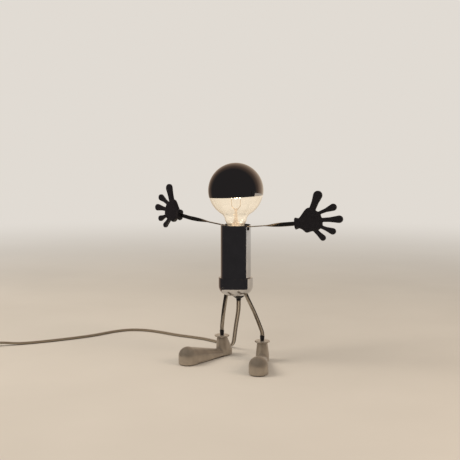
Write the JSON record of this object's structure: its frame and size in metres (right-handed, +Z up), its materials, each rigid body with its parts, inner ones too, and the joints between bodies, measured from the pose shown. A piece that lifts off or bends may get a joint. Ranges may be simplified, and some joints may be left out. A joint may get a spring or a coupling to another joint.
{
  "type": "robot shaped desk lamp",
  "caption": "Desk lamp shaped as a standing figure: mirrored globe bulb head, chromed tube body, bendable strip arms and legs, black hands, satin shoes, mains lead with switch.",
  "frame": {"origin": "on the table, under the axis of the body tube and bulb", "axes": "+Z up, the figure faces -Y, its own left arm points to +X"},
  "size_m": [0.5863, 0.3892, 0.288],
  "materials": {
    "chrome_plated_steel": "mirror chrome plating",
    "plated_strip": "bright plated spring-free bending strip",
    "zinc_plated_steel": "zinc plated",
    "blackened_screw": "blackened",
    "black_thermoset": "moulded",
    "nickel_brass": "nickelled",
    "bulb_cap_alloy": "rolled thread",
    "clear_twin_flex": "clear PVC twin flex",
    "black_moulding": "moulded",
    "black_hand_moulding": "satin moulding",
    "satin_cast_metal": "satin casting",
    "turned_satin_metal": "turned",
    "sole_rubber": "cut sheet",
    "clear_glass": "blown glass",
    "mirror_coating": "silvered crown",
    "glowing_filament": "glowing",
    "nickel_wire": "drawn wire",
    "black_glass_insulator": "fused insulator",
    "clear_grey_moulding": "moulded"
  },
  "bodies": {
    "torso": {"body_tube": "chrome_plated_steel", "base_cup": "chrome_plated_steel", "leg_plate": "zinc_plated_steel", "leg_screws": "zinc_plated_steel", "leg_nuts": "zinc_plated_steel", "holder_rod": "zinc_plated_steel", "rod_nuts": "zinc_plated_steel", "holder_body": "black_thermoset", "holder_sleeve": "nickel_brass", "holder_contact": "nickel_brass", "holder_terminals": "nickel_brass", "inner_wires": "clear_twin_flex", "cord_gland": "black_moulding", "arm_screws": "blackened_screw", "left_arm_tab": "plated_strip", "right_arm_tab": "plated_strip", "left_leg_root": "plated_strip", "right_leg_root": "plated_strip", "cord_to_switch": "clear_twin_flex", "switch_lower": "clear_grey_moulding", "switch_upper": "clear_grey_moulding", "switch_screws": "zinc_plated_steel", "cord_after_switch": "clear_twin_flex", "cord_coil": "clear_twin_flex", "cord_to_plug": "clear_twin_flex", "plug_body": "clear_grey_moulding", "plug_pins": "nickel_brass", "plug_sleeves": "clear_grey_moulding"},
    "left_upper_arm": {"left_arm": "plated_strip"},
    "left_forearm": {"left_wrist_strip": "plated_strip", "left_hand": "black_hand_moulding"},
    "left_leg_strip": {"left_leg": "plated_strip"},
    "left_ankle": {"left_ankle_strip": "plated_strip", "left_ankle_ferrule": "black_moulding", "left_ankle_peg": "zinc_plated_steel"},
    "left_foot": {"left_shoe": "satin_cast_metal", "left_shoe_collar": "turned_satin_metal", "left_sole_pad": "sole_rubber"},
    "right_upper_arm": {"right_arm": "plated_strip"},
    "right_forearm": {"right_wrist_strip": "plated_strip", "right_hand": "black_hand_moulding"},
    "right_leg_strip": {"right_leg": "plated_strip"},
    "right_ankle": {"right_ankle_strip": "plated_strip", "right_ankle_ferrule": "black_moulding", "right_ankle_peg": "zinc_plated_steel"},
    "right_foot": {"right_shoe": "satin_cast_metal", "right_shoe_collar": "turned_satin_metal", "right_sole_pad": "sole_rubber"},
    "bulb_foot": {"bulb_contact": "nickel_brass"},
    "bulb": {"bulb_glass": "clear_glass", "bulb_mirror_crown": "mirror_coating", "bulb_screw_cap": "bulb_cap_alloy", "bulb_insulator": "black_glass_insulator", "bulb_stem": "clear_glass", "bulb_filament": "glowing_filament", "bulb_leads": "nickel_wire"},
    "rocker": {"switch_rocker": "clear_grey_moulding"}
  },
  "joints": [
    {"name": "left_shoulder_bend", "type": "hinge", "parent": "torso", "child": "left_upper_arm", "pos_m": [0.0255, 0, 0.197], "axis": [0, -1, 0], "range_deg": [-60, 60]},
    {"name": "left_elbow_bend", "type": "hinge", "parent": "left_upper_arm", "child": "left_forearm", "pos_m": [0.08612, 0, 0.2038], "axis": [-0.1115, 0, 0.9938], "range_deg": [-60, 60]},
    {"name": "left_hip_bend", "type": "hinge", "parent": "torso", "child": "left_leg_strip", "pos_m": [0.0203, 0.0025, 0.091], "axis": [-0.9271, 0, -0.3747], "range_deg": [-5, 60]},
    {"name": "left_ankle_bend", "type": "hinge", "parent": "left_leg_strip", "child": "left_ankle", "pos_m": [0.0397, 0.011, 0.043], "axis": [-1, 0, 0], "range_deg": [-10, 25]},
    {"name": "left_shoe_swivel", "type": "hinge", "parent": "left_ankle", "child": "left_foot", "pos_m": [0.0397, 0.011, 0.03], "axis": [0, 0, 1], "range_deg": [-35, 60]},
    {"name": "right_shoulder_bend", "type": "hinge", "parent": "torso", "child": "right_upper_arm", "pos_m": [-0.0255, 0, 0.197], "axis": [0, 1, 0], "range_deg": [-60, 60]},
    {"name": "right_elbow_bend", "type": "hinge", "parent": "right_upper_arm", "child": "right_forearm", "pos_m": [-0.08612, 0, 0.2038], "axis": [-0.1115, 0, -0.9938], "range_deg": [-60, 60]},
    {"name": "right_hip_bend", "type": "hinge", "parent": "torso", "child": "right_leg_strip", "pos_m": [-0.02, 0.0025, 0.091], "axis": [-0.9777, 0, 0.2098], "range_deg": [-5, 60]},
    {"name": "right_ankle_bend", "type": "hinge", "parent": "right_leg_strip", "child": "right_ankle", "pos_m": [-0.0303, 0.0062, 0.043], "axis": [-1, 0, 0], "range_deg": [-10, 25]},
    {"name": "right_shoe_swivel", "type": "hinge", "parent": "right_ankle", "child": "right_foot", "pos_m": [-0.0303, 0.0062, 0.03], "axis": [0, 0, -1], "range_deg": [-15, 60]},
    {"name": "bulb_lift", "type": "slide", "parent": "torso", "child": "bulb_foot", "axis": [0, 0, 1], "range_m": [0, 0.02172]},
    {"name": "bulb_turn", "type": "hinge", "parent": "bulb_foot", "child": "bulb", "pos_m": [0, 0, 0.248], "axis": [0, 0, 1], "range_deg": [0, 2160]},
    {"name": "switch_rocker_tilt", "type": "hinge", "parent": "torso", "child": "rocker", "pos_m": [-0.36905, -0.18846, 0.0125], "axis": [-0.809, 0.5878, 0], "range_deg": [0, 16]}
  ],
  "couplings": [
    {"joint": "bulb_lift", "follows": "bulb_turn", "m_per_rad": 0.00057614}
  ]
}
